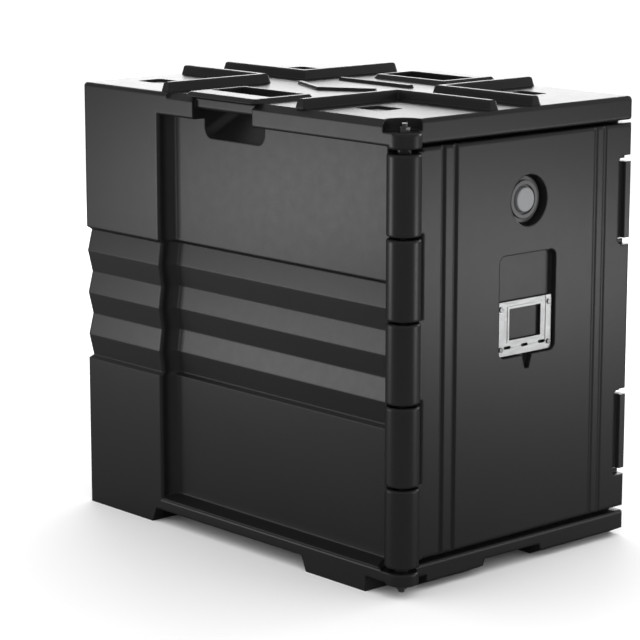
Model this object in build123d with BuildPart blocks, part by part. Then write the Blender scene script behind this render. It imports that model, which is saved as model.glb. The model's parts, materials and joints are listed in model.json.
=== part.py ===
from build123d import *
from math import radians, tan
import os

# Insulated food carrier, millimetres. +Z is up, the door faces -Y and the hinge is on the -X side.
# The origin is at the middle of the overall box, on the floor.

# ---- overall ----
overall_width = 450.0
body_depth = 650.0
overall_height = 635.0
barrel_radius = 22.5
barrel_proud = 17.5

# ---- body ----
foot_height = 20.0
rail_height = 17.5
rim_height = 32.5
ridge_height = 13.0
side_recess = 22.0
rear_block = 173.0
rear_corner_radius = 6.0
soft_corner_radius = 5.0
recess_corner_radius = 14.0
rim_edge_radius = 5.5
rim_lower_radius = 4.0
rail_edge_radius = 4.0
foot_edge_radius = 3.0
ledge_rise = 7.0
rim_chamfer = 8.0
rim_chamfer_width = 10.4
rim_chamfer_back = 193.0
skin = 4.0
hinge_skin = 1.0
screw_backing = 15.0
overcut = 1.0

# ---- wave band round the sides and back ----
wave_bottom = 222.0
wave_pitch = 62.0
wave_count = 3
wave_depth = 5.0
wave_crest_inset = 0.5
wave_border = 4.5

# ---- food chamber ----
side_wall = 46.5
back_wall = 64.0
floor_wall = 58.0
roof_wall = 74.0
chamber_corner_radius = 18.0
mouth_chamfer = 6.0
runner_proud = 10.0
runner_height = 10.0
runner_pitch = 67.0
runner_setback = 45.0

# ---- door ----
door_flange = 24.0
gasket_gap = 2.0
door_hinge_gap = 5.0
door_top_gap = 4.0
door_bottom_gap = 5.5
door_edge_radius = 5.0
plug_depth = 30.0
plug_clearance = 5.0
plug_corner_radius = 14.0
plug_draft = 2.0
grooves_from_hinge = (38.0, 60.0)
grooves_from_free_edge = (73.0, 55.0)
groove_width = 8.0
groove_floor_width = 2.5
groove_depth = 3.0
faint_groove_depth = 1.2
gasket_height = 5.5
gasket_bevel = 4.0
gasket_clearance = 0.3

# ---- hinge ----
knuckle_count = 5
knuckle_gap = 3.0
knuckle_clearance = 7.0
knuckle_edge_radius = 3.0
tab_height = 20.5
base_tab_height = 17.5
tab_gap = 6.0
tab_notch_clearance = 4.5
rod_diameter = 8.0
rod_fit = 0.1
nut_across_flats = 13.0
nut_height = 6.5
rod_end_length = 5.0
washer_diameter = 18.0

# ---- carrying handles ----
handle_length = 126.0
handle_back = 312.75
grip_width = 33.0
grip_rise = 14.5
grip_recess = 6.0
grip_top_radius = 9.0
well_width = 60.0
pocket_drop = 26.5
well_floor_drop = 22.0
well_corner_radius = 9.0
pocket_corner_radius = 14.0
lip_width = 12.0
lip_height = 6.0
lip_slope = 45.0
lip_edge_radius = 2.0
grip_radius = 5.0

# ---- stacking ridges and feet ----
ridge_width = 16.0
ridge_x = 40.0
front_ridge_gap = 75.25
rear_ridge_gap = 55.75
ridge_end_gap = 7.0
ridge_taper = 12.0
ridge_edge_radius = 3.5
foot_inner_x = 52.0
front_foot_depth = 177.0
rear_foot_depth = 159.0
foot_taper = 22.0
foot_front_rise = 12.0
foot_front_slope = 25.0
dimple_taper = 4.0
foot_notch_x = 64.0
foot_notch_y = 50.0
dimple_length = 50.0
dimple_width = 42.0
dimple_depth = 3.5
dimple_side = 88.0
dimple_front = 122.0
dimple_rear = 67.0
centre_rib_width = 8.0
centre_rib_height = 4.0
chevron_rib = ((-8.0, 86.0), (-42.0, 8.0), (2.0, -62.0))
straight_rib_x = 70.0
straight_rib_shift = 12.0
straight_rib_length = 148.0

# ---- latches ----
latch_height = 106.0
latch_notch_clearance = 9.0
latch_notch_width = 26.0
latch_notch_through = 12.5
latch_through_clearance = 3.0
latch_notch_depth = 13.5
lower_latch_rise = 114.5
upper_latch_drop = 110.0
latch_pivot_back = 75.0
latch_pivot_inset = 9.0
lever_thickness = 11.0
lever_inset = 0.3
claw_thickness = 5.0
claw_gap = 0.5
claw_setback = 1.0
latch_pin_diameter = 5.0
latch_pin_fit = 0.1
latch_ear_height = 10.0
latch_ear_gap = 0.4
latch_knuckle_radius = 7.0
latch_base_thickness = 3.0
latch_base_length = 46.0
latch_pocket_depth = 22.0
latch_pocket_clearance = 6.0
latch_end_gap = 3.0
screw_pitch_y = 32.0
screw_pitch_z = 56.0
screw_diameter = 4.0
screw_length = 14.0
screw_head_diameter = 8.0
screw_head_height = 1.8

# ---- vent ----
feature_x = 22.0
vent_drop = 91.0
vent_recess_margin = 3.5
vent_recess_depth = 15.0
vent_flange_margin = 5.25
vent_flange_height = 3.0
vent_ring_width = 5.9
vent_ring_gap = 3.35
vent_ring_top = 8.7
vent_cup_clearance = 0.5
vent_cup_wall = 4.0
vent_cup_depth = 13.0
vent_web = 3.0
vent_sleeve_bore = 22.0
vent_sleeve_wall = 4.0
vent_hole_clearance = 0.5
vent_button_diameter = 33.0
vent_button_height = 8.0
vent_button_proud = 2.6
vent_button_travel = 3.0
vent_button_dome = 1.6
vent_stem_diameter = 8.0
vent_stem_fit = 0.2
vent_seal_gap = 0.3
vent_seal_thickness = 1.5
vent_seal_inset = 1.0
vent_disc_overlap = 2.5
vent_disc_thickness = 3.0
vent_nut_wall = 8.0
vent_nut_height = 8.0
vent_slot_count = 6
vent_slot_diameter = 4.5
vent_slot_gap = 1.25
spring_wire = 1.4
spring_coils = 3.0
spring_inset = 7.0

# ---- label pocket and frame ----
label_drop = 139.5
label_width = 108.0
label_height = 138.0
label_depth = 9.0
label_corner_radius = 10.0
drain_width = 19.0
drain_drop = 18.5
frame_side_gap = 3.25
frame_height = 73.5
frame_bottom_gap = 2.0
frame_sheet = 1.2
frame_stand = 4.6
frame_window_side = 20.75
frame_window_height = 42.5
frame_window_bottom = 20.5
frame_slot_pitch = 33.0
frame_slot_length = 13.0
frame_slot_width = 4.0
frame_slot_bottom = 11.0
frame_step_width = 10.0
frame_lip_width = 3.5
rivet_inset_x = 5.0
rivet_inset_z = 9.5
rivet_diameter = 4.0
rivet_head_diameter = 7.0
rivet_head_height = 1.6
rivet_length = 8.0

# ---- foam filling holes ----
fill_hole_diameter = 25.0
fill_plug_fit = 0.1
fill_plug_flange = 34.0
fill_plug_flange_height = 2.0
door_fill_rise = 97.0

# ---- places worked out from the sizes above ----
half_width = overall_width / 2
front_y = barrel_proud - (body_depth + barrel_proud) / 2
back_y = front_y + body_depth
plate_z = overall_height - ridge_height
rim_z = plate_z - rim_height
rail_z = foot_height + rail_height
panel_x = half_width - side_recess
recess_y = back_y - rear_block
frame_y = front_y + door_flange + gasket_gap
chamber_x = side_recess / 2
chamber_width = overall_width - side_recess - 2 * side_wall
chamber_depth = back_y - back_wall - frame_y
chamber_floor = foot_height + floor_wall
chamber_top = plate_z - roof_wall
chamber_height = chamber_top - chamber_floor
chamber_mid_z = chamber_floor + chamber_height / 2
runner_count = int(chamber_height / runner_pitch - 1)
door_x = 2 * barrel_radius + door_hinge_gap - half_width
door_z0 = rail_z + door_bottom_gap
door_z1 = rim_z - door_top_gap
door_back_y = front_y + door_flange
hinge_x = barrel_radius - half_width
hinge_y = front_y - barrel_proud + barrel_radius
front_skin = hinge_y + barrel_radius + knuckle_clearance + hinge_skin - frame_y
lid_tab_z = rim_z - knuckle_gap
lid_tab_top = lid_tab_z + tab_height
base_tab_top = rail_z - knuckle_gap
base_tab_z = base_tab_top - base_tab_height
barrel_z0 = base_tab_top + tab_gap
barrel_z1 = lid_tab_z - tab_gap
knuckle_pitch = (barrel_z1 - barrel_z0 + knuckle_gap) / knuckle_count
knuckle_length = knuckle_pitch - knuckle_gap
bore_diameter = rod_diameter + rod_fit
handle_y = back_y - handle_back
front_arm_y = handle_y - handle_length / 2 - lip_width - front_ridge_gap
rear_arm_y = handle_y + handle_length / 2 + lip_width + rear_ridge_gap
dimple_x = half_width - dimple_side
grip_z = rim_z + grip_rise
grip_x = half_width - grip_width
well_x = grip_x - well_width
pocket_z = rim_z - pocket_drop
well_floor_z = plate_z - well_floor_drop
latch_pivot_x = half_width - latch_pivot_inset
latch_pivot_y = front_y + latch_pivot_back
latch_base_x = half_width - latch_pocket_depth
latch_pocket_y = latch_pivot_y + latch_base_length / 2 + latch_end_gap
latch_z = (rail_z + lower_latch_rise, rim_z - upper_latch_drop)
latch_notch_height = latch_height + 2 * latch_notch_clearance
latch_through_height = latch_height + 2 * latch_through_clearance
latch_pocket_half = latch_notch_height / 2 + latch_pocket_clearance
vent_z = rim_z - vent_drop
label_z = vent_z - label_drop
vent_cup_bore = vent_button_diameter + 2 * vent_cup_clearance
vent_cup_diameter = vent_cup_bore + 2 * vent_cup_wall
vent_ring_bore = vent_button_diameter + 2 * vent_ring_gap
vent_ring_diameter = vent_ring_bore + 2 * vent_ring_width
vent_flange_diameter = vent_ring_diameter + 2 * vent_flange_margin
vent_recess_diameter = vent_flange_diameter + 2 * vent_recess_margin
vent_sleeve_diameter = vent_sleeve_bore + 2 * vent_sleeve_wall
vent_disc_diameter = vent_sleeve_bore + 2 * vent_disc_overlap
vent_nut_flats = vent_sleeve_diameter + 2 * vent_nut_wall
vent_slot_circle = vent_stem_diameter + vent_slot_diameter + 2 * vent_slot_gap
spring_diameter = vent_cup_bore - 2 * spring_inset
frame_width = label_width - 2 * frame_side_gap
frame_window_width = frame_width - 2 * frame_window_side
rivet_pitch_x = frame_width - 2 * rivet_inset_x
rivet_pitch_z = frame_height - 2 * rivet_inset_z
door_fill_z = door_z0 + door_fill_rise


# alignments of posts that stand on a face and of shanks sunk below one
standing = (Align.CENTER, Align.CENTER, Align.MIN)
sunk = (Align.CENTER, Align.CENTER, Align.MAX)


def knuckle_bottoms(first):
    """Bottom heights of every second knuckle, counted from the bottom one."""
    return [barrel_z0 + i * knuckle_pitch for i in range(first, knuckle_count, 2)]


def wall_outline(inset):
    """Plan of the body behind the door: recessed on the hinge side, flush on the other sides."""
    with BuildSketch() as outline:
        with Locations((0, (frame_y + back_y - inset) / 2)):
            Rectangle(overall_width - 2 * inset, back_y - inset - frame_y)
        fillet(outline.vertices().group_by(Axis.Y)[-1], rear_corner_radius)
        with Locations((-half_width, frame_y)):
            Rectangle(2 * (side_recess + inset), 2 * (recess_y - frame_y), mode=Mode.SUBTRACT)
        for end, radius in ((0, soft_corner_radius), (-1, recess_corner_radius)):
            at_step = outline.vertices().filter_by(lambda v: abs(v.Y - recess_y) < overcut)
            fillet(at_step.sort_by(Axis.X)[end], radius)
    return outline.sketch


def span_box(x0, x1, y0, y1, z0, z1, mode=Mode.ADD):
    """A box between two corners, added to or cut from the current part."""
    with Locations(((x0 + x1) / 2, (y0 + y1) / 2, (z0 + z1) / 2)):
        Box(x1 - x0, y1 - y0, z1 - z0, mode=mode)


def barrel_post(radius, z0, height, mode=Mode.ADD):
    """A cylinder on the hinge axis."""
    with Locations((hinge_x, hinge_y, z0)):
        Cylinder(radius, height, align=(Align.CENTER, Align.CENTER, Align.MIN), mode=mode)


def knuckle(z0, length):
    """A barrel section on the hinge axis with rounded ends."""
    with BuildPart(Plane.XY.offset(z0)) as post:
        with Locations((hinge_x, hinge_y)):
            Cylinder(barrel_radius, length, align=(Align.CENTER, Align.CENTER, Align.MIN))
        fillet(post.edges().filter_by(GeomType.CIRCLE), knuckle_edge_radius)
    return post.part


# ---- handle opening: a pocket in the side that runs up to a window in the top ----
def handle_opening(wall_x):
    with BuildPart() as opening:
        with BuildSketch(Plane.XZ.offset(-handle_y)):
            with BuildLine():
                Polyline(
                    (half_width + overcut, grip_z + grip_radius),
                    (half_width - grip_recess, grip_z + grip_radius),
                    (half_width - grip_recess, grip_z),
                    (grip_x, grip_z),
                    (grip_x, plate_z + lip_height + overcut),
                    (well_x, plate_z + lip_height + overcut),
                    (well_x, well_floor_z),
                    (wall_x, pocket_z),
                    (half_width + overcut, pocket_z),
                    close=True,
                )
            make_face()
        extrude(amount=handle_length / 2, both=True)
        along = opening.edges().filter_by(Axis.Y)
        under_grip = along.filter_by(lambda e: abs(e.center().Z - grip_z) < overcut)
        fillet(under_grip, grip_radius - overcut / 2)
        sloping = opening.edges().filter_by(lambda e: e.bounding_box().size.Y < 0.01)
        inner = sloping.filter_by(lambda e: e.center().X < half_width and e.center().Z < grip_z - 1)
        fillet(inner.filter_by(lambda e: e.center().Z > pocket_z + 0.01), pocket_corner_radius)
    return opening.part


right_handle = handle_opening(half_width)
left_handle = handle_opening(panel_x).mirror(Plane.YZ)


def handle_bounds(side, margin):
    """X range of a handle's surround on the -X (side -1) or +X (side 1) side."""
    inner = side * (well_x - margin)
    outer = side * (grip_x + margin)
    return min(inner, outer), max(inner, outer)


def latch_screw_solids(z, head_height):
    """The four screws of one latch base, with or without their heads."""
    with BuildPart() as screws:
        plate_face = (latch_base_x + latch_base_thickness, latch_pivot_y, z)
        with Locations(Plane(plate_face, x_dir=(0, 1, 0), z_dir=(1, 0, 0))):
            with GridLocations(screw_pitch_y, screw_pitch_z, 2, 2):
                Cylinder(screw_diameter / 2, screw_length, align=sunk)
                if head_height:
                    Cylinder(screw_head_diameter / 2, head_height, align=standing)
    return screws.part


# ---- body foam: fills the closed hollow between the outer skin and the chamber ----
wall_skin = skin + wave_depth
with BuildPart() as body_foam:
    span_box(
        wall_skin - panel_x, half_width - wall_skin,
        frame_y + front_skin, back_y - wall_skin,
        foot_height + skin, plate_z - skin,
    )
    span_box(
        wall_skin - half_width, 0,
        recess_y + wall_skin, back_y - wall_skin,
        rail_z, plate_z - skin,
    )
    span_box(
        chamber_x - chamber_width / 2 - skin, chamber_x + chamber_width / 2 + skin,
        frame_y, frame_y + chamber_depth + skin,
        chamber_floor - skin, chamber_top + skin,
        Mode.SUBTRACT,
    )
    for side in (-1, 1):
        inner, outer = side * (well_x - lip_width), side * (half_width + overcut)
        handle_half = handle_length / 2 + skin
        span_box(
            min(inner, outer), max(inner, outer),
            handle_y - handle_half, handle_y + handle_half,
            pocket_z - skin, plate_z,
            Mode.SUBTRACT,
        )
    for z in latch_z:
        span_box(
            latch_base_x - screw_backing, half_width,
            frame_y, latch_pocket_y + skin,
            z - latch_pocket_half - skin, z + latch_pocket_half + skin,
            Mode.SUBTRACT,
        )


# ---- base rail: the lowest slab of the body, with soft edges all round ----
with BuildPart() as base_rail:
    with BuildSketch(Plane.XY.offset(foot_height)) as base_plan:
        with Locations((0, (front_y + back_y) / 2)):
            Rectangle(overall_width, body_depth)
        fillet(base_plan.vertices().group_by(Axis.Y)[-1], rear_corner_radius)
        fillet(base_plan.vertices().group_by(Axis.Y)[0], soft_corner_radius)
    extrude(amount=rail_height)
    fillet(base_rail.faces().sort_by(Axis.Z)[-1].edges(), rail_edge_radius)
    fillet(base_rail.faces().sort_by(Axis.Z)[0].edges(), foot_edge_radius)

# ---- feet: flush with the body outside, sloping on their inner sides and under the front edge ----
with BuildPart() as feet:
    foot_top_z = foot_height + foot_edge_radius
    foot_spread = foot_top_z * tan(radians(foot_taper))
    for side in (-1, 1):
        with BuildSketch(Plane.XY.offset(foot_top_z)):
            foot_x = side * (half_width + foot_inner_x) / 2
            with Locations((foot_x + side * foot_spread / 2, front_y + (front_foot_depth - foot_spread) / 2)):
                Rectangle(half_width - foot_inner_x + foot_spread, front_foot_depth + foot_spread)
            with Locations((foot_x + side * foot_spread / 2, back_y - (rear_foot_depth - foot_spread) / 2)):
                Rectangle(half_width - foot_inner_x + foot_spread, rear_foot_depth + foot_spread)
        extrude(amount=-foot_top_z, taper=foot_taper)
    with BuildSketch(mode=Mode.PRIVATE) as foot_limits:
        with Locations((0, (front_y + back_y) / 2)):
            Rectangle(overall_width, body_depth)
        fillet(foot_limits.vertices().group_by(Axis.Y)[-1], rear_corner_radius)
        fillet(foot_limits.vertices().group_by(Axis.Y)[0], soft_corner_radius)
        with Locations((-half_width, front_y)):
            Rectangle(2 * foot_notch_x, 2 * foot_notch_y, mode=Mode.SUBTRACT)
    extrude(foot_limits.sketch, amount=foot_top_z, mode=Mode.INTERSECT)
    with BuildSketch(Plane.YZ.offset(-half_width)):
        with BuildLine():
            Polyline(
                (front_y - overcut, foot_front_rise),
                (front_y, foot_front_rise),
                (front_y + foot_front_slope, 0),
                (front_y + foot_front_slope, -overcut),
                (front_y - overcut, -overcut),
                close=True,
            )
        make_face()
    extrude(amount=overall_width, mode=Mode.SUBTRACT)

# ---- body shell ----
with BuildPart() as body_shell:
    # top slab with its overhanging rim
    with BuildSketch(Plane.XY.offset(rim_z)) as slab_plan:
        with Locations((0, (front_y + back_y) / 2)):
            Rectangle(overall_width, body_depth)
        fillet(slab_plan.vertices().group_by(Axis.Y)[-1], rear_corner_radius)
        fillet(slab_plan.vertices().group_by(Axis.Y)[0], soft_corner_radius)
    extrude(amount=rim_height)
    fillet(body_shell.faces().sort_by(Axis.Z)[-1].edges(), rim_edge_radius)
    fillet(body_shell.faces().sort_by(Axis.Z)[0].edges(), rim_lower_radius)
    with BuildSketch(Plane.XZ.offset(-front_y)):
        with BuildLine():
            Polyline(
                (-half_width, plate_z - rim_chamfer),
                (-half_width + rim_chamfer_width, plate_z),
                (-half_width, plate_z + overcut),
                (-half_width - overcut, plate_z + overcut),
                (-half_width - overcut, plate_z - rim_chamfer),
                close=True,
            )
        make_face()
    extrude(amount=-(body_depth - rim_chamfer_back), mode=Mode.SUBTRACT)

    # walls with the wave band
    levels = [(rail_z - rail_edge_radius, 0.0), (wave_bottom - wave_border, 0.0)]
    for i in range(wave_count):
        levels.append((wave_bottom + i * wave_pitch, wave_depth))
        levels.append((wave_bottom + (i + 0.5) * wave_pitch, wave_crest_inset))
    levels.append((wave_bottom + wave_count * wave_pitch, wave_depth))
    levels.append((wave_bottom + wave_count * wave_pitch + wave_border, 0.0))
    levels.append((rim_z + rim_lower_radius, 0.0))
    for (z0, inset0), (z1, inset1) in zip(levels, levels[1:]):
        with BuildSketch(Plane.XY.offset(z0)):
            add(wall_outline(inset0))
        if inset0 == inset1:
            extrude(amount=z1 - z0)
        else:
            with BuildSketch(Plane.XY.offset(z1)):
                add(wall_outline(inset1))
            loft(ruled=True)

    # base rail, with a ledge that slopes up to the recessed panel
    add(base_rail.part)
    with BuildSketch(Plane.XZ.offset(-frame_y)):
        with BuildLine():
            Polyline(
                (-half_width, rail_z),
                (-panel_x, rail_z),
                (-panel_x, rail_z + ledge_rise),
                close=True,
            )
        make_face()
    extrude(amount=-(recess_y - frame_y))

    add(feet.part)

    # stacking ridges, an L at each corner
    for side in (-1, 1):
        for end_y, arm_y in ((front_y, front_arm_y), (back_y, rear_arm_y)):
            toward = 1 if end_y > 0 else -1
            outer_x = half_width - ridge_end_gap
            outer_y = end_y - toward * ridge_end_gap
            reach = ridge_x - ridge_width / 2
            with BuildSketch(Plane.XY.offset(plate_z)) as ridge_plan:
                with Locations((side * (outer_x + reach) / 2, arm_y)):
                    Rectangle(outer_x - reach, ridge_width)
                with Locations((side * ridge_x, (arm_y + outer_y) / 2)):
                    Rectangle(ridge_width, abs(outer_y - arm_y))
            extrude(amount=ridge_height, taper=ridge_taper)
    fillet(body_shell.faces().group_by(Axis.Z)[-1].edges(), ridge_edge_radius)

    # shallow dimples in the four pads, and two low ribs in the middle of the top
    with BuildSketch(Plane.XY.offset(plate_z)) as dimples:
        for side in (-1, 1):
            for dimple_y in (front_y + dimple_front, back_y - dimple_rear):
                with Locations((side * dimple_x, dimple_y)):
                    RectangleRounded(dimple_width, dimple_length, soft_corner_radius)
    extrude(amount=-dimple_depth, taper=dimple_taper, mode=Mode.SUBTRACT)
    with BuildSketch(Plane.XY.offset(plate_z)):
        with BuildLine() as chevron:
            Polyline([(x, handle_y + y) for x, y in chevron_rib])
        trace(line_width=centre_rib_width)
        with Locations((straight_rib_x, handle_y + straight_rib_shift)):
            Rectangle(centre_rib_width, straight_rib_length)
    extrude(amount=centre_rib_height, taper=ridge_taper)

    # grip bars set back from the rim, with a rounded top edge
    for side in (-1, 1):
        inner, outer = side * (half_width - grip_recess), side * (half_width + overcut)
        span_box(
            min(inner, outer), max(inner, outer),
            handle_y - handle_length / 2, handle_y + handle_length / 2,
            rim_z - overcut, plate_z + overcut,
            Mode.SUBTRACT,
        )
    top_edges = body_shell.edges().filter_by(Axis.Y).filter_by(lambda e: abs(e.center().Z - plate_z) < 0.1)
    grip_x = half_width - grip_recess
    fillet(top_edges.filter_by(lambda e: abs(abs(e.center().X) - grip_x) < 0.1), grip_top_radius)

    # raised surrounds of the two handle windows
    for side in (-1, 1):
        x0, x1 = handle_bounds(side, lip_width)
        with BuildSketch(Plane.XY.offset(plate_z)):
            with Locations(((x0 + x1) / 2, handle_y)):
                RectangleRounded(x1 - x0, handle_length + 2 * lip_width, well_corner_radius)
        extrude(amount=lip_height, taper=lip_slope)
    lip_tops = body_shell.faces().filter_by(lambda f: abs(f.center().Z - plate_z - lip_height) < overcut / 10)
    fillet(lip_tops.edges(), lip_edge_radius)
    add(right_handle, mode=Mode.SUBTRACT)
    add(left_handle, mode=Mode.SUBTRACT)

    # hinge: end tabs, knuckles on the body and room for the door's knuckles
    barrel_post(barrel_radius + tab_notch_clearance, lid_tab_top, ridge_height + rim_height, Mode.SUBTRACT)
    barrel_post(barrel_radius + tab_notch_clearance, base_tab_top, rail_height + ledge_rise, Mode.SUBTRACT)
    add(knuckle(lid_tab_z, tab_height))
    add(knuckle(base_tab_z, base_tab_height))
    for z0 in knuckle_bottoms(0):
        clear_length = knuckle_length + 2 * knuckle_gap
        barrel_post(barrel_radius + knuckle_clearance, z0 - knuckle_gap, clear_length, Mode.SUBTRACT)
    for z0 in knuckle_bottoms(1):
        add(knuckle(z0, knuckle_length))
        span_box(
            -panel_x, hinge_x + barrel_radius - knuckle_edge_radius,
            hinge_y, frame_y + skin,
            z0, z0 + knuckle_length,
        )

    # food chamber with its chamfered mouth and moulded runners
    with BuildSketch(Plane.XZ.offset(-frame_y)):
        with Locations((chamber_x, chamber_mid_z)):
            RectangleRounded(chamber_width, chamber_height, chamber_corner_radius)
    extrude(amount=-chamber_depth, mode=Mode.SUBTRACT)
    with BuildSketch(Plane.XZ.offset(-frame_y)):
        with Locations((chamber_x, chamber_mid_z)):
            RectangleRounded(
                chamber_width + 2 * mouth_chamfer,
                chamber_height + 2 * mouth_chamfer,
                chamber_corner_radius + mouth_chamfer,
            )
    extrude(amount=-mouth_chamfer, taper=lip_slope, mode=Mode.SUBTRACT)
    for i in range(runner_count):
        runner_z = chamber_floor + (i + 0.5) * runner_pitch
        for side in (-1, 1):
            with BuildSketch(Plane.XZ.offset(-(frame_y + runner_setback))):
                wall = chamber_x + side * chamber_width / 2
                with BuildLine():
                    Polyline(
                        (wall + side * overcut, runner_z - runner_height),
                        (wall - side * runner_proud, runner_z - runner_height / 4),
                        (wall - side * runner_proud, runner_z),
                        (wall + side * overcut, runner_z),
                        close=True,
                    )
                make_face()
            extrude(amount=-(chamber_depth - runner_setback + overcut))

    # latch pockets in the right wall
    for z in latch_z:
        span_box(
            latch_base_x, half_width + overcut,
            frame_y - overcut, latch_pocket_y,
            z - latch_pocket_half, z + latch_pocket_half,
            Mode.SUBTRACT,
        )

    # closed hollow for the foam, and the hole that it is filled through
    add(body_foam.part, mode=Mode.SUBTRACT)
    with Locations((chamber_x, 0, foot_height)):
        Cylinder(fill_hole_diameter / 2, 4 * skin, mode=Mode.SUBTRACT)

    # bore for the hinge rod, and holes for the latch screws
    barrel_post(bore_diameter / 2, 0, overall_height + overcut, Mode.SUBTRACT)
    for z in latch_z:
        add(latch_screw_solids(z, 0), mode=Mode.SUBTRACT)


# ---- door foam: fills the closed hollow of the door ----
label_floor_y = front_y + label_depth
vent_floor_y = front_y + vent_recess_depth
cup_bottom_y = vent_floor_y - vent_flange_height + vent_cup_depth + vent_web
plug_back_y = door_back_y + plug_depth
plug_width = chamber_width - 2 * plug_clearance
plug_height = chamber_height - 2 * plug_clearance
hollow_edge = 2 * skin


def vent_post(diameter, y0, y1, mode=Mode.ADD):
    """A cylinder on the vent axis between two depths."""
    with BuildSketch(Plane.XZ.offset(-y0)) as disc:
        with Locations((feature_x, vent_z)):
            Circle(diameter / 2)
    extrude(disc.sketch, amount=y0 - y1, mode=mode)


with BuildPart() as door_foam:
    span_box(
        door_x + hollow_edge, half_width - latch_notch_width - skin,
        front_y + groove_depth + skin / 2, door_back_y - skin / 2,
        door_z0 + hollow_edge, door_z1 - hollow_edge,
    )
    span_box(
        chamber_x - plug_width / 2 + hollow_edge, chamber_x + plug_width / 2 - hollow_edge,
        label_floor_y + skin, plug_back_y - skin,
        chamber_mid_z - plug_height / 2 + hollow_edge, chamber_mid_z + plug_height / 2 - hollow_edge,
    )
    span_box(
        feature_x - label_width / 2 - skin, feature_x + label_width / 2 + skin,
        front_y, label_floor_y + skin,
        label_z - label_height / 2 - drain_drop - skin, label_z + label_height / 2 + skin,
        Mode.SUBTRACT,
    )
    vent_post(vent_recess_diameter + 2 * skin, front_y, vent_floor_y + skin, Mode.SUBTRACT)
    vent_post(vent_cup_diameter + 2 * skin, front_y, cup_bottom_y + skin, Mode.SUBTRACT)
    vent_post(vent_sleeve_diameter + 2 * skin, front_y, plug_back_y, Mode.SUBTRACT)


def rivet_solids(head_height):
    """The four rivets of the label frame, with or without their heads."""
    with BuildPart() as rivets:
        with Locations(Plane((feature_x, frame_face_y, frame_mid_z), z_dir=(0, -1, 0), x_dir=(1, 0, 0))):
            with GridLocations(rivet_pitch_x, rivet_pitch_z, 2, 2):
                Cylinder(rivet_diameter / 2, rivet_length, align=sunk)
                if head_height:
                    Cylinder(rivet_head_diameter / 2, head_height, align=standing)
    return rivets.part


frame_face_y = label_floor_y - frame_stand
frame_bottom_z = label_z - label_height / 2 + frame_bottom_gap
frame_mid_z = frame_bottom_z + frame_height / 2
door_mid_x = (door_x + half_width) / 2
door_mid_z = (door_z0 + door_z1) / 2

# ---- door shell ----
with BuildPart() as door_shell:
    with BuildSketch(Plane.XZ.offset(-front_y)):
        with Locations((door_mid_x, door_mid_z)):
            Rectangle(half_width - door_x, door_z1 - door_z0)
    extrude(amount=-door_flange)
    fillet(door_shell.faces().sort_by(Axis.Y)[0].edges(), door_edge_radius)

    # insulated plug that enters the chamber mouth
    with BuildSketch(Plane.XZ.offset(-door_back_y)):
        with Locations((chamber_x, chamber_mid_z)):
            RectangleRounded(plug_width, plug_height, plug_corner_radius)
    extrude(amount=-plug_depth, taper=plug_draft)

    # knuckles on the door, joined to its front by short necks
    for z0 in knuckle_bottoms(0):
        add(knuckle(z0, knuckle_length))
        span_box(
            hinge_x, door_x + door_edge_radius,
            front_y, door_back_y,
            max(z0, door_z0 + overcut), min(z0 + knuckle_length, door_z1 - overcut),
        )

    # vertical grooves in the front face
    grooves = [(door_x + inset, groove_depth) for inset in grooves_from_hinge]
    grooves += [(half_width - inset, faint_groove_depth) for inset in grooves_from_free_edge]
    with BuildSketch(Plane.XY.offset(door_z0 - overcut)):
        for groove_x, depth in grooves:
            with BuildLine():
                Polyline(
                    (groove_x - groove_width / 2, front_y),
                    (groove_x - groove_floor_width / 2, front_y + depth),
                    (groove_x + groove_floor_width / 2, front_y + depth),
                    (groove_x + groove_width / 2, front_y),
                    (groove_x + groove_width / 2, front_y - overcut),
                    (groove_x - groove_width / 2, front_y - overcut),
                    close=True,
                )
            make_face()
    extrude(amount=door_z1 - door_z0 + 2 * overcut, mode=Mode.SUBTRACT)

    # label pocket with its drain
    with BuildSketch(Plane.XZ.offset(-front_y)):
        with Locations((feature_x, label_z)):
            RectangleRounded(label_width, label_height, label_corner_radius)
    extrude(amount=-label_depth, mode=Mode.SUBTRACT)
    label_foot_z = label_z - label_height / 2
    with BuildSketch(Plane.XZ.offset(-front_y)):
        with BuildLine():
            Polyline(
                (feature_x - drain_width / 2, label_foot_z + overcut),
                (feature_x + drain_width / 2, label_foot_z + overcut),
                (feature_x + drain_width / 5, label_foot_z - drain_drop),
                (feature_x - drain_width / 5, label_foot_z - drain_drop),
                close=True,
            )
        make_face()
    extrude(amount=-label_depth, mode=Mode.SUBTRACT)

    # vent recess and the hole behind it
    vent_post(vent_recess_diameter, front_y - overcut, vent_floor_y, Mode.SUBTRACT)
    cup_hole = vent_cup_diameter + 2 * vent_hole_clearance
    sleeve_hole = vent_sleeve_diameter + 2 * vent_hole_clearance
    vent_post(cup_hole, front_y, cup_bottom_y + vent_hole_clearance, Mode.SUBTRACT)
    vent_post(sleeve_hole, front_y, plug_back_y + overcut, Mode.SUBTRACT)

    # stepped notches in the free edge for the latches
    notch_steps = (
        (latch_notch_width, latch_notch_height, latch_notch_depth, well_corner_radius),
        (latch_notch_through, latch_through_height, door_flange + overcut, latch_through_clearance),
    )
    for z in latch_z:
        for width, height, depth, radius in notch_steps:
            with BuildSketch(Plane.XZ.offset(-front_y)):
                with Locations((half_width, z)):
                    RectangleRounded(2 * width, height, radius)
            extrude(amount=-depth, mode=Mode.SUBTRACT)

    # closed hollow, its filling hole, the rivet holes and the bore for the hinge rod
    add(door_foam.part, mode=Mode.SUBTRACT)
    with Locations(Plane((chamber_x, plug_back_y, door_fill_z), z_dir=(0, 1, 0))):
        Cylinder(fill_hole_diameter / 2, 4 * skin, mode=Mode.SUBTRACT)
    add(rivet_solids(0), mode=Mode.SUBTRACT)
    barrel_post(bore_diameter / 2, 0, overall_height, Mode.SUBTRACT)

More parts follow.
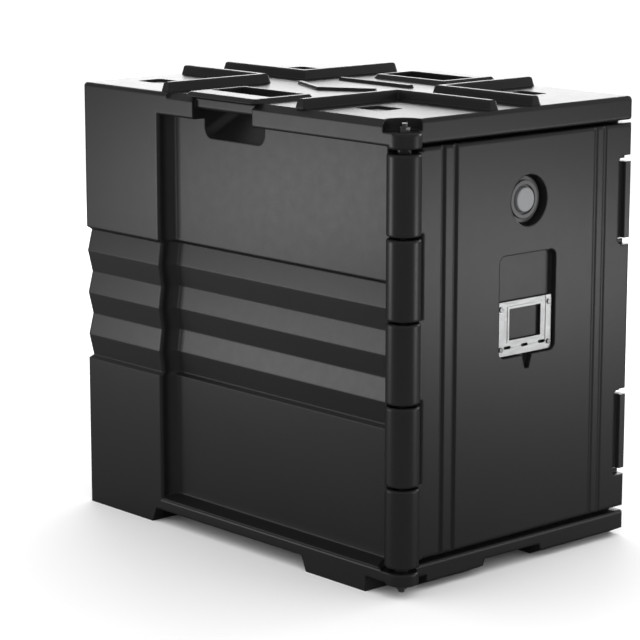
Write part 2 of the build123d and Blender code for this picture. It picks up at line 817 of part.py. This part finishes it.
# ---- foam plugs ----
with BuildPart(Plane((chamber_x, 0, foot_height), z_dir=(0, 0, -1))) as body_foam_plug:
    Cylinder(fill_plug_flange / 2, fill_plug_flange_height, align=(Align.CENTER, Align.CENTER, Align.MIN))
    Cylinder((fill_hole_diameter - fill_plug_fit) / 2, skin, align=(Align.CENTER, Align.CENTER, Align.MAX))
    fillet(body_foam_plug.faces().sort_by(Axis.Z)[0].edges(), fill_plug_flange_height / 2)

with BuildPart(Plane((chamber_x, plug_back_y, door_fill_z), z_dir=(0, 1, 0))) as door_foam_plug:
    Cylinder(fill_plug_flange / 2, fill_plug_flange_height, align=(Align.CENTER, Align.CENTER, Align.MIN))
    Cylinder((fill_hole_diameter - fill_plug_fit) / 2, skin, align=(Align.CENTER, Align.CENTER, Align.MAX))
    fillet(door_foam_plug.faces().sort_by(Axis.Y)[-1].edges(), fill_plug_flange_height / 2)

# ---- door gasket: a bevelled ring round the root of the plug ----
seal_width = chamber_width + 2 * mouth_chamfer - 2 * gasket_clearance
seal_height = chamber_height + 2 * mouth_chamfer - 2 * gasket_clearance
with BuildPart() as door_gasket:
    with BuildSketch(Plane.XZ.offset(-door_back_y)):
        with Locations((chamber_x, chamber_mid_z)):
            RectangleRounded(seal_width, seal_height, chamber_corner_radius + mouth_chamfer)
    extrude(amount=-gasket_height)
    chamfer(door_gasket.faces().sort_by(Axis.Y)[-1].edges(), gasket_bevel)
    with BuildSketch(Plane.XZ.offset(-door_back_y)):
        with Locations((chamber_x, chamber_mid_z)):
            RectangleRounded(plug_width, plug_height, plug_corner_radius)
    extrude(amount=-plug_depth, mode=Mode.SUBTRACT)

# ---- hinge rod, nuts and spacers ----
rod_z0 = base_tab_z - nut_height - rod_end_length
rod_z1 = lid_tab_top + nut_height + rod_end_length
with BuildPart(Plane.XY.offset(rod_z0)) as hinge_rod:
    with Locations((hinge_x, hinge_y)):
        Cylinder(rod_diameter / 2, rod_z1 - rod_z0, align=(Align.CENTER, Align.CENTER, Align.MIN))
    chamfer(hinge_rod.edges().filter_by(GeomType.CIRCLE), rod_diameter / 10)

with BuildPart() as hinge_nuts:
    for z0 in (base_tab_z - nut_height, lid_tab_top):
        with BuildSketch(Plane.XY.offset(z0)):
            with Locations((hinge_x, hinge_y)):
                RegularPolygon(nut_across_flats / 2, 6, major_radius=False)
                Circle(bore_diameter / 2, mode=Mode.SUBTRACT)
        extrude(amount=nut_height)

with BuildPart() as hinge_spacers:
    for z0 in (base_tab_top, lid_tab_z - tab_gap + gasket_clearance):
        with BuildSketch(Plane.XY.offset(z0)):
            with Locations((hinge_x, hinge_y)):
                Circle(washer_diameter / 2)
                Circle(bore_diameter / 2, mode=Mode.SUBTRACT)
        extrude(amount=tab_gap - gasket_clearance)

# ---- latches ----
lever_x = half_width - lever_inset - lever_thickness
lever_front_y = front_y + claw_setback
claw_back_y = front_y + latch_notch_depth - claw_gap
claw_x = half_width - latch_notch_width + claw_setback
latch_knuckle_length = latch_height - 2 * (latch_ear_height + latch_ear_gap)
ear_reach = latch_knuckle_radius + latch_ear_gap


def latch_base_at(z):
    """Screwed base plate with an ear at each end of the lever's knuckle."""
    with BuildPart() as base:
        span_box(
            latch_base_x, latch_base_x + latch_base_thickness,
            latch_pivot_y - latch_base_length / 2, latch_pivot_y + latch_base_length / 2,
            z - latch_height / 2, z + latch_height / 2,
        )
        for z0 in (z - latch_height / 2, z + latch_height / 2 - latch_ear_height):
            span_box(
                latch_base_x, latch_pivot_x,
                latch_pivot_y - latch_knuckle_radius, latch_pivot_y + latch_knuckle_radius,
                z0, z0 + latch_ear_height,
            )
            with Locations((latch_pivot_x, latch_pivot_y, z0)):
                Cylinder(latch_knuckle_radius, latch_ear_height, align=standing)
        with Locations((latch_pivot_x, latch_pivot_y, z)):
            Cylinder((latch_pin_diameter + latch_pin_fit) / 2, latch_height, mode=Mode.SUBTRACT)
        add(latch_screw_solids(z, 0), mode=Mode.SUBTRACT)
    return base.part


def latch_lever_at(z):
    """Lever that swings on the base; its claw bears on the floor of the door's notch."""
    with BuildPart() as lever:
        with BuildSketch(Plane.XY.offset(z - latch_height / 2)):
            with BuildLine():
                Polyline(
                    (half_width - lever_inset, latch_pivot_y - 2 * ear_reach),
                    (half_width - lever_inset, lever_front_y),
                    (lever_x, lever_front_y),
                    (lever_x, claw_back_y - claw_thickness),
                    (claw_x, claw_back_y - claw_thickness),
                    (claw_x, claw_back_y),
                    (lever_x, claw_back_y),
                    (lever_x, latch_pivot_y - 2 * ear_reach),
                    close=True,
                )
            make_face()
        extrude(amount=latch_height)
        fillet(lever.edges().filter_by(Axis.Z), claw_setback)
        with BuildSketch(Plane.XY.offset(z - latch_knuckle_length / 2)):
            with Locations((latch_pivot_x, latch_pivot_y)):
                Circle(latch_knuckle_radius)
            with Locations((half_width - lever_inset - lever_thickness / 2, latch_pivot_y - ear_reach)):
                Rectangle(lever_thickness, 2 * ear_reach + latch_knuckle_radius / 2)
        extrude(amount=latch_knuckle_length)
        with Locations((latch_pivot_x, latch_pivot_y, z)):
            Cylinder((latch_pin_diameter + latch_pin_fit) / 2, latch_height, mode=Mode.SUBTRACT)
    return lever.part


def latch_pin_at(z):
    """Steel pin through the ears and the knuckle."""
    with BuildPart() as pin:
        with Locations((latch_pivot_x, latch_pivot_y, z)):
            Cylinder(latch_pin_diameter / 2, latch_height)
    return pin.part


with BuildPart() as latch_screws:
    for z in latch_z:
        add(latch_screw_solids(z, screw_head_height))

# ---- vent ----
flange_face_y = vent_floor_y - vent_flange_height
ring_face_y = front_y + vent_ring_top
button_face_y = ring_face_y - vent_button_proud
button_back_y = button_face_y + vent_button_height
sleeve_end_y = plug_back_y + vent_nut_height
seal_y = sleeve_end_y + vent_seal_gap
disc_y = seal_y + vent_seal_thickness
cup_floor_y = cup_bottom_y - vent_web

with BuildPart() as vent_body:
    vent_post(vent_flange_diameter, flange_face_y, vent_floor_y)
    vent_post(vent_cup_diameter, flange_face_y, cup_bottom_y)
    vent_post(vent_sleeve_diameter, flange_face_y, sleeve_end_y)
    vent_post(vent_cup_bore, flange_face_y, cup_floor_y, Mode.SUBTRACT)
    vent_post(vent_sleeve_bore, cup_bottom_y, sleeve_end_y, Mode.SUBTRACT)
    vent_post(vent_stem_diameter + vent_stem_fit, cup_floor_y, cup_bottom_y, Mode.SUBTRACT)
    with BuildSketch(Plane.XZ.offset(-cup_floor_y)):
        with Locations((feature_x, vent_z)):
            with PolarLocations(vent_slot_circle / 2, vent_slot_count):
                Circle(vent_slot_diameter / 2)
    extrude(amount=-vent_web, mode=Mode.SUBTRACT)

with BuildPart() as vent_ring:
    vent_post(vent_ring_diameter, ring_face_y, flange_face_y)
    vent_post(vent_ring_bore, ring_face_y, flange_face_y, Mode.SUBTRACT)
    fillet(vent_ring.faces().sort_by(Axis.Y)[0].edges(), vent_button_dome / 2)

with BuildPart() as vent_button:
    vent_post(vent_button_diameter, button_face_y, button_back_y)
    fillet(vent_button.faces().sort_by(Axis.Y)[0].edges(), vent_button_dome)
    vent_post(vent_stem_diameter, button_back_y, disc_y)

with BuildPart() as vent_disc:
    vent_post(vent_disc_diameter, disc_y, disc_y + vent_disc_thickness)
    fillet(vent_disc.faces().sort_by(Axis.Y)[-1].edges(), vent_disc_thickness / 3)

with BuildPart() as vent_seal:
    vent_post(vent_disc_diameter - vent_seal_inset, seal_y, disc_y)
    vent_post(vent_stem_diameter, seal_y, disc_y, Mode.SUBTRACT)

with BuildPart() as vent_nut:
    with BuildSketch(Plane.XZ.offset(-plug_back_y)):
        with Locations((feature_x, vent_z)):
            RegularPolygon(vent_nut_flats / 2, 6, major_radius=False)
            Circle(vent_sleeve_diameter / 2, mode=Mode.SUBTRACT)
    extrude(amount=-vent_nut_height)

# the spring rests on the cup floor and stops short of the button by the button's travel
spring_height = cup_floor_y - button_back_y - vent_button_travel - spring_wire - vent_seal_gap
spring_start = (feature_x, cup_floor_y - spring_wire / 2, vent_z)
with BuildPart() as vent_spring:
    with BuildLine() as coil:
        Helix(
            spring_height / spring_coils, spring_height, spring_diameter / 2,
            center=spring_start, direction=(0, -1, 0),
        )
    with BuildSketch(Plane(coil.line @ 0, z_dir=coil.line % 0)):
        Circle(spring_wire / 2)
    sweep(is_frenet=True)

# ---- label frame: a pressed sheet, open at the top, with a card window ----
with BuildPart() as label_frame:
    with BuildSketch(Plane.XZ.offset(-frame_face_y)):
        with Locations((feature_x, frame_mid_z)):
            Rectangle(frame_width, frame_height)
    extrude(amount=-frame_stand)
    fillet(label_frame.edges().filter_by(Axis.Y).group_by(Axis.Z)[0], 2 * frame_sheet)
    span_box(
        feature_x - frame_width / 2 + frame_sheet, feature_x + frame_width / 2 - frame_sheet,
        frame_face_y + frame_sheet, label_floor_y,
        frame_bottom_z + frame_sheet, frame_bottom_z + frame_height,
        Mode.SUBTRACT,
    )
    window_z = frame_bottom_z + frame_window_bottom + frame_window_height / 2
    with BuildSketch(Plane.XZ.offset(-frame_face_y)):
        with Locations((feature_x, window_z)):
            Rectangle(frame_window_width + 2 * frame_step_width, frame_window_height + 2 * frame_step_width)
            lip_outer = (frame_window_width + 2 * frame_lip_width, frame_window_height + 2 * frame_lip_width)
            Rectangle(*lip_outer, mode=Mode.SUBTRACT)
    extrude(amount=-frame_sheet / 2, mode=Mode.SUBTRACT)
    with BuildSketch(Plane.XZ.offset(-frame_face_y)):
        with Locations((feature_x, window_z)):
            Rectangle(frame_window_width, frame_window_height)
        with Locations((feature_x, frame_bottom_z + frame_slot_bottom)):
            with GridLocations(frame_slot_pitch, 1, 3, 1):
                SlotOverall(frame_slot_length, frame_slot_width)
    extrude(amount=-2 * frame_sheet, mode=Mode.SUBTRACT)
    add(rivet_solids(0), mode=Mode.SUBTRACT)

with BuildPart() as label_rivets:
    add(rivet_solids(rivet_head_height))

# ---- export ----
pieces = {
    "body_shell": body_shell.part,
    "body_foam": body_foam.part,
    "body_foam_plug": body_foam_plug.part,
    "door_shell": door_shell.part,
    "door_foam": door_foam.part,
    "door_foam_plug": door_foam_plug.part,
    "door_gasket": door_gasket.part,
    "hinge_rod": hinge_rod.part,
    "hinge_nuts": hinge_nuts.part,
    "hinge_spacers": hinge_spacers.part,
    "latch_screws": latch_screws.part,
    "vent_body": vent_body.part,
    "vent_ring": vent_ring.part,
    "vent_button": vent_button.part,
    "vent_spring": vent_spring.part,
    "vent_seal": vent_seal.part,
    "vent_disc": vent_disc.part,
    "vent_nut": vent_nut.part,
    "label_frame": label_frame.part,
    "label_rivets": label_rivets.part,
}
for name, z in zip(("lower", "upper"), latch_z):
    pieces["latch_base_" + name] = latch_base_at(z)
    pieces["latch_lever_" + name] = latch_lever_at(z)
    pieces["latch_pin_" + name] = latch_pin_at(z)

os.makedirs("parts", exist_ok=True)
for name, piece in pieces.items():
    piece.label = name
    export_step(piece, f"parts/{name}.step")
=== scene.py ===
import json

import bmesh
import bpy
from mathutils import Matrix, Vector

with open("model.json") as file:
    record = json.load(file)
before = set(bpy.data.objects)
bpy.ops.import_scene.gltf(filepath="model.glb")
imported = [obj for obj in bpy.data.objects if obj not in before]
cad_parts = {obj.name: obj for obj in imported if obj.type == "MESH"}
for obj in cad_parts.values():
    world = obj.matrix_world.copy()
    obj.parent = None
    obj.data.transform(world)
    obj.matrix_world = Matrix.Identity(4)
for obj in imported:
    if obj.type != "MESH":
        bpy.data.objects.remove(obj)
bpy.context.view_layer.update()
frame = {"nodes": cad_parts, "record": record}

nodes = frame["nodes"]

# lengths in metres, noise scales in cycles per metre
bevel_samples = 6
metal_edge = 0.0004
cloud_scale = 5
scuff_and_highlight_scale = 60
wobble_scale = 4
wobble_strength = 0.03
wobble_depth = 0.002
peel_strength = 0.3
line_scale = 1200
line_strength = 0.4
smudge_scale = 45
bloom_scale = 35
rubber_grain = 1500
rubber_grain_depth = 0.00006
foam_cell_scale = 700
foam_cell_depth = 0.0004
foam_patch_scale = 12
moulding_grain = 1500
moulding_grain_depth = 0.00006


# ---- material helpers ----

def new_material(name):
    """An empty node material with a Principled shader; returns its tree and shader."""
    material = bpy.data.materials.new(name)
    material.use_nodes = True
    tree = material.node_tree
    return material, tree, tree.nodes["Principled BSDF"]


def object_point(tree, scale=(1, 1, 1)):
    """Object coordinates in metres, stretched by a scale along each axis."""
    place = tree.nodes.new("ShaderNodeTexCoord")
    mapping = tree.nodes.new("ShaderNodeMapping")
    mapping.inputs["Scale"].default_value = scale
    tree.links.new(place.outputs["Object"], mapping.inputs["Vector"])
    return mapping.outputs["Vector"]


def noise(tree, vector, scale, detail=2.0, roughness=0.5):
    """A noise value between 0 and 1."""
    node = tree.nodes.new("ShaderNodeTexNoise")
    node.inputs["Scale"].default_value = scale
    node.inputs["Detail"].default_value = detail
    node.inputs["Roughness"].default_value = roughness
    tree.links.new(vector, node.inputs["Vector"])
    return node.outputs["Fac"]


def spread(tree, value, low, high, start=0.3, stop=0.7):
    """A value mapped from start..stop to low..high."""
    node = tree.nodes.new("ShaderNodeMapRange")
    node.inputs["From Min"].default_value = start
    node.inputs["From Max"].default_value = stop
    node.inputs["To Min"].default_value = low
    node.inputs["To Max"].default_value = high
    tree.links.new(value, node.inputs["Value"])
    return node.outputs["Result"]


def colours(tree, factor, low, high):
    """A colour between two colours."""
    node = tree.nodes.new("ShaderNodeMix")
    node.data_type = "RGBA"
    node.inputs["A"].default_value = (*low, 1)
    node.inputs["B"].default_value = (*high, 1)
    tree.links.new(factor, node.inputs["Factor"])
    return node.outputs["Result"]


def bump(tree, height, strength, distance, normal=None):
    """A bump normal on top of another normal."""
    node = tree.nodes.new("ShaderNodeBump")
    node.inputs["Strength"].default_value = strength
    node.inputs["Distance"].default_value = distance
    tree.links.new(height, node.inputs["Height"])
    if normal:
        tree.links.new(normal, node.inputs["Normal"])
    return node.outputs["Normal"]


def rounded_normal(tree, radius):
    """A normal that rounds the edges off by a radius."""
    bevel = tree.nodes.new("ShaderNodeBevel")
    bevel.samples = bevel_samples
    bevel.inputs["Radius"].default_value = radius
    return bevel.outputs["Normal"]


def edge_mask(tree, radius):
    """The rounded normal, and a value that is 1 near an edge and 0 on a flat face."""
    rounded = rounded_normal(tree, radius)
    geometry = tree.nodes.new("ShaderNodeNewGeometry")
    dot = tree.nodes.new("ShaderNodeVectorMath")
    dot.operation = "DOT_PRODUCT"
    tree.links.new(rounded, dot.inputs[0])
    tree.links.new(geometry.outputs["Normal"], dot.inputs[1])
    return rounded, spread(tree, dot.outputs["Value"], 1, 0, 0.75, 0.99)


def moulded_plastic(
    name, base, edge_highlight_colour, roughness, grain=900, grain_depth=0.00012, edge=0.0015, specular=0.4
):
    """Moulded plastic: soft unevenness, fine orange-peel grain, and a painted highlight that makes the
    edges a little paler.
    """
    material, tree, shader = new_material(name)
    point = object_point(tree)
    rounded, edges = edge_mask(tree, edge)
    cloud = noise(tree, point, cloud_scale, 3)
    scuff_and_highlight_noise = noise(tree, point, scuff_and_highlight_scale, 4, 0.65)
    body = colours(tree, spread(tree, cloud, 0, 1), base, [1.15 * c for c in base])
    # painted highlight: near an edge the colour is mixed towards a paler colour, in patches set by the
    # noise
    painted_edge_highlight = tree.nodes.new("ShaderNodeMath")
    painted_edge_highlight.operation = "MULTIPLY"
    tree.links.new(edges, painted_edge_highlight.inputs[0])
    tree.links.new(spread(tree, scuff_and_highlight_noise, 0.1, 0.6, 0.4, 0.65), painted_edge_highlight.inputs[1])
    mix = tree.nodes.new("ShaderNodeMix")
    mix.data_type = "RGBA"
    mix.inputs["B"].default_value = (*edge_highlight_colour, 1)
    tree.links.new(painted_edge_highlight.outputs[0], mix.inputs["Factor"])
    tree.links.new(body, mix.inputs["A"])
    tree.links.new(mix.outputs["Result"], shader.inputs["Base Color"])
    rough = spread(tree, scuff_and_highlight_noise, roughness - 0.01, roughness + 0.02, 0.2, 0.8)
    tree.links.new(rough, shader.inputs["Roughness"])
    shader.inputs["Specular IOR Level"].default_value = specular
    wobble = bump(tree, noise(tree, point, wobble_scale, 1), wobble_strength, wobble_depth, rounded)
    peel = bump(tree, noise(tree, point, grain, 2), peel_strength, grain_depth, wobble)
    tree.links.new(peel, shader.inputs["Normal"])
    return material


def brushed_metal(name, base, roughness, stretch, grain_depth=0.00004):
    """Metal with fine drawn lines along one axis and faint smudges."""
    material, tree, shader = new_material(name)
    lines = noise(tree, object_point(tree, stretch), line_scale, 3, 0.6)
    smudge = noise(tree, object_point(tree), smudge_scale, 3)
    tree.links.new(colours(tree, smudge, [0.82 * c for c in base], base), shader.inputs["Base Color"])
    shader.inputs["Metallic"].default_value = 1
    tree.links.new(spread(tree, lines, roughness - 0.06, roughness + 0.1), shader.inputs["Roughness"])
    rounded = rounded_normal(tree, metal_edge)
    tree.links.new(bump(tree, lines, line_strength, grain_depth, rounded), shader.inputs["Normal"])
    return material


def soft_rubber(name, base):
    """Matt silicone with a dusty bloom and a very fine skin."""
    material, tree, shader = new_material(name)
    point = object_point(tree)
    bloom = noise(tree, point, bloom_scale, 4, 0.6)
    dusty = [1.9 * c for c in base]
    tree.links.new(colours(tree, spread(tree, bloom, 0, 1), base, dusty), shader.inputs["Base Color"])
    tree.links.new(spread(tree, bloom, 0.62, 0.78), shader.inputs["Roughness"])
    shader.inputs["Sheen Weight"].default_value = 0.15
    skin = noise(tree, point, rubber_grain, 2)
    tree.links.new(bump(tree, skin, 0.3, rubber_grain_depth), shader.inputs["Normal"])
    return material


def cell_foam(name, base):
    """Rigid foam: small closed cells and yellowed patches."""
    material, tree, shader = new_material(name)
    point = object_point(tree)
    cells = tree.nodes.new("ShaderNodeTexVoronoi")
    cells.inputs["Scale"].default_value = foam_cell_scale
    tree.links.new(point, cells.inputs["Vector"])
    patches = noise(tree, point, foam_patch_scale, 3)
    tree.links.new(colours(tree, patches, base, [0.7 * c for c in base]), shader.inputs["Base Color"])
    tree.links.new(spread(tree, cells.outputs["Distance"], 0.7, 0.95, 0, 1), shader.inputs["Roughness"])
    tree.links.new(bump(tree, cells.outputs["Distance"], 0.6, foam_cell_depth), shader.inputs["Normal"])
    return material


# ---- the record's finishes ----

fine_moulding = {"grain": moulding_grain, "grain_depth": moulding_grain_depth}
# the second colour of each moulded plastic is the paler colour of its painted edge highlight
finishes = {
    "shell": moulded_plastic(
        "rotomoulded_black", (0.008, 0.008, 0.0083), (0.018, 0.018, 0.019), 0.34, edge=0.003
    ),
    "foam": cell_foam("polyurethane_foam", (0.75, 0.66, 0.42)),
    "seal": soft_rubber("black_silicone", (0.022, 0.022, 0.023)),
    "stainless": brushed_metal("bright_stainless", (0.2, 0.203, 0.206), 0.26, (1, 1, 0.04)),
    "nylon": moulded_plastic(
        "black_nylon", (0.015, 0.015, 0.016), (0.06, 0.06, 0.062), 0.33, edge=0.001, **fine_moulding
    ),
    "vent_plastic": moulded_plastic(
        "dark_grey_plastic", (0.075, 0.075, 0.078), (0.16, 0.16, 0.165), 0.38, edge=0.0008, **fine_moulding
    ),
    "button_grey": moulded_plastic(
        "mid_grey_plastic", (0.19, 0.195, 0.2), (0.3, 0.3, 0.31), 0.4, edge=0.0008, **fine_moulding
    ),
    "label_steel": brushed_metal("pressed_stainless", (0.62, 0.625, 0.63), 0.42, (0.04, 1, 1)),
}
for part in frame["record"]["subparts"]:
    cad = nodes[part["node"]]
    cad.data.materials.clear()
    cad.data.materials.append(finishes[part["material_slot"]])


# ---- floor, light and camera ----

floor_in_reflections = 0.12


def floor_plane(half_size):
    """A wide pale floor under the feet, darker where it is only seen in a reflection."""
    mesh = bpy.data.meshes.new("floor")
    shape = bmesh.new()
    bmesh.ops.create_grid(shape, x_segments=1, y_segments=1, size=half_size)
    shape.to_mesh(mesh)
    shape.free()
    floor = bpy.data.objects.new("floor", mesh)
    bpy.context.scene.collection.objects.link(floor)
    material, tree, shader = new_material("pale_floor")
    tone = spread(tree, noise(tree, object_point(tree), 3, 2), 0.985, 1)
    path = tree.nodes.new("ShaderNodeLightPath")
    mirrored = spread(tree, path.outputs["Is Glossy Ray"], 1, floor_in_reflections, 0, 1)
    shade = tree.nodes.new("ShaderNodeMath")
    shade.operation = "MULTIPLY"
    tree.links.new(tone, shade.inputs[0])
    tree.links.new(mirrored, shade.inputs[1])
    tree.links.new(colours(tree, shade.outputs[0], (0, 0, 0), (0.9, 0.9, 0.9)), shader.inputs["Base Color"])
    shader.inputs["Roughness"].default_value = 0.8
    mesh.materials.append(material)


def softbox(name, place, target, width, height, watts):
    """A rectangular area light aimed at a point."""
    light = bpy.data.lights.new(name, "AREA")
    light.shape = "RECTANGLE"
    light.size = width
    light.size_y = height
    light.energy = watts
    lamp = bpy.data.objects.new(name, light)
    lamp.location = place
    lamp.rotation_euler = (Vector(target) - Vector(place)).to_track_quat("-Z", "Y").to_euler()
    bpy.context.scene.collection.objects.link(lamp)


def white_room(strength, mirrored):
    """An even pale surrounding light that is dimmer in reflections."""
    world = bpy.data.worlds.new("white_room")
    world.use_nodes = True
    tree = world.node_tree
    background = tree.nodes["Background"]
    background.inputs["Color"].default_value = (1, 1, 1, 1)
    path = tree.nodes.new("ShaderNodeLightPath")
    dimmed = spread(tree, path.outputs["Is Glossy Ray"], strength, mirrored, 0, 1)
    tree.links.new(dimmed, background.inputs["Strength"])
    bpy.context.scene.world = world


camera_place = Vector((-2.3608, -2.5617, 0.9937))
camera_aim = Vector((-0.0714, -0.0060, 0.3031))
camera_lens = 140.35
camera_sensor = 36
floor_half_size = 12
room_strength = 1.35
room_in_reflections = 0.28

floor_plane(floor_half_size)
white_room(room_strength, room_in_reflections)
softbox("front_right_softbox", (1.3, -1.75, 0.02), (0.0, -0.3, 0.38), 0.9, 0.3, 8)
softbox("left_softbox", (-1.7, 1.36, 0.2), (-0.2, -0.1, 0.45), 0.8, 0.3, 6)
softbox("rear_softbox", (1.96, 2.19, 1.2), (0, 0, 0.6), 2.4, 1.0, 30)
softbox("right_softbox", (2.6, -0.4, 1.1), (0.2, 0, 0.3), 1.2, 0.8, 14)

lens = bpy.data.cameras.new("camera")
lens.lens = camera_lens
lens.sensor_width = camera_sensor
camera = bpy.data.objects.new("camera", lens)
camera.location = camera_place
camera.rotation_euler = (camera_aim - camera_place).to_track_quat("-Z", "Y").to_euler()
bpy.context.scene.collection.objects.link(camera)
bpy.context.scene.camera = camera
bpy.context.scene.view_settings.view_transform = "Standard"
